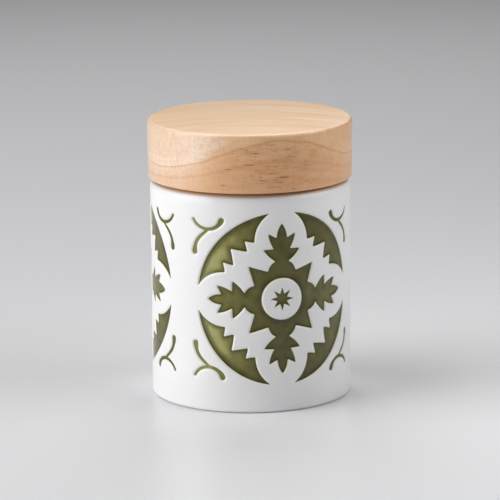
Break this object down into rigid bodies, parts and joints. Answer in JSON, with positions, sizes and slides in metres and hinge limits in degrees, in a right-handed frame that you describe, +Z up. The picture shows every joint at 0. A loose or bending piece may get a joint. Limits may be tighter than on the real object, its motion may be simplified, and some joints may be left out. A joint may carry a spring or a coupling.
{
  "type": "food jar",
  "caption": "Straight-sided glazed stoneware jar with recessed green ornament and a turned wooden lid that plugs the mouth with a finned silicone seal.",
  "frame": {"origin": "middle of the base, on the plane that the foot ring stands on", "axes": "+Z up the jar's axis to the lid; -Y is the front that the picture shows; +X is the picture's right"},
  "size_m": [0.102, 0.102, 0.1394],
  "materials": {
    "white_glaze": "satin white glaze on stoneware",
    "green_glaze": "olive green glaze pooled in recesses",
    "lid_wood": "turned and fine-sanded rubberwood, oiled",
    "seal_silicone": "milky moulded silicone"
  },
  "bodies": {
    "jar": {"jar_body": "white_glaze", "crescents_1": "green_glaze", "crescents_2": "green_glaze", "crescents_3": "green_glaze", "leaf_cross_1": "green_glaze", "leaf_cross_2": "green_glaze", "leaf_cross_3": "green_glaze", "star_1": "green_glaze", "star_2": "green_glaze", "star_3": "green_glaze", "sprigs_1": "green_glaze", "sprigs_2": "green_glaze", "sprigs_3": "green_glaze"},
    "seal": {"seal_ring": "seal_silicone"},
    "lid": {"lid": "lid_wood"}
  },
  "joints": [
    {"name": "lid_lift", "type": "slide", "parent": "jar", "child": "seal", "axis": [0, 0, 1], "range_m": [0, 0.08]},
    {"name": "lid_turn", "type": "hinge", "parent": "seal", "child": "lid", "pos_m": [0, 0, 0.1104], "axis": [0, 0, 1], "continuous": true}
  ]
}
